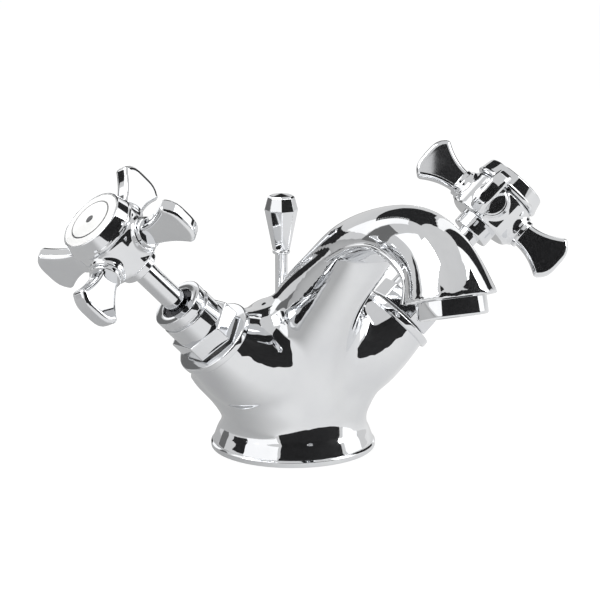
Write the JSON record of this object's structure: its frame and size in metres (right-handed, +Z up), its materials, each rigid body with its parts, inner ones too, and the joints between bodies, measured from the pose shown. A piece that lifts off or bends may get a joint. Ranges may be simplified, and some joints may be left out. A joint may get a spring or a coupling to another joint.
{
  "type": "basin mixer",
  "caption": "Chrome basin mixer with angled crosshead valves beside a hooded curved spout, an aerator in its bell outlet and a lift knob for the pop-up waste.",
  "frame": {"origin": "centre of the base's underside, on the deck", "axes": "+Z up, spout towards -Y, hot valve on -X and cold valve on +X"},
  "size_m": [0.1852, 0.1538, 0.1047],
  "materials": {
    "chrome": "polished plate",
    "white_ceramic": "glazed",
    "valve_ceramic": "lapped",
    "rubber": "matt",
    "fibre": "matt fibre",
    "jet_plastic": "moulded",
    "clip_steel": "dark spring steel",
    "brass": "turned"
  },
  "bodies": {
    "mixer": {"mixer_body": "chrome", "base_seal": "rubber", "aerator_housing": "chrome", "aerator_insert": "jet_plastic", "aerator_washer": "rubber", "rod_bush": "chrome", "hot_headgear": "chrome", "hot_headgear_washer": "fibre", "hot_seat_seal": "rubber", "hot_fixed_disc": "valve_ceramic", "cold_headgear": "chrome", "cold_headgear_washer": "fibre", "cold_seat_seal": "rubber", "cold_fixed_disc": "valve_ceramic"},
    "hot_handle": {"hot_moving_disc": "valve_ceramic", "hot_spindle": "chrome", "hot_spindle_orings": "rubber", "hot_spindle_clip": "clip_steel", "hot_handle_hub": "chrome", "hot_handle_lobes": "chrome", "hot_handle_screw": "brass", "hot_index_bezel": "chrome", "hot_index_disc": "white_ceramic"},
    "cold_handle": {"cold_moving_disc": "valve_ceramic", "cold_spindle": "chrome", "cold_spindle_orings": "rubber", "cold_spindle_clip": "clip_steel", "cold_handle_hub": "chrome", "cold_handle_lobes": "chrome", "cold_handle_screw": "brass", "cold_index_bezel": "chrome", "cold_index_disc": "white_ceramic"},
    "lift": {"lift_rod": "chrome", "lift_knob": "chrome"}
  },
  "joints": [
    {"name": "hot_turn", "type": "hinge", "parent": "mixer", "child": "hot_handle", "pos_m": [-0.07103, -0.01447, 0.08142], "axis": [-0.7032, -0.0739, 0.7071], "range_deg": [0, 90]},
    {"name": "cold_turn", "type": "hinge", "parent": "mixer", "child": "cold_handle", "pos_m": [0.07103, -0.01447, 0.08142], "axis": [0.7032, -0.0739, 0.7071], "range_deg": [-90, 0]},
    {"name": "lift_slide", "type": "slide", "parent": "mixer", "child": "lift", "axis": [0, 0, 1], "range_m": [-0.005, 0.015]}
  ]
}
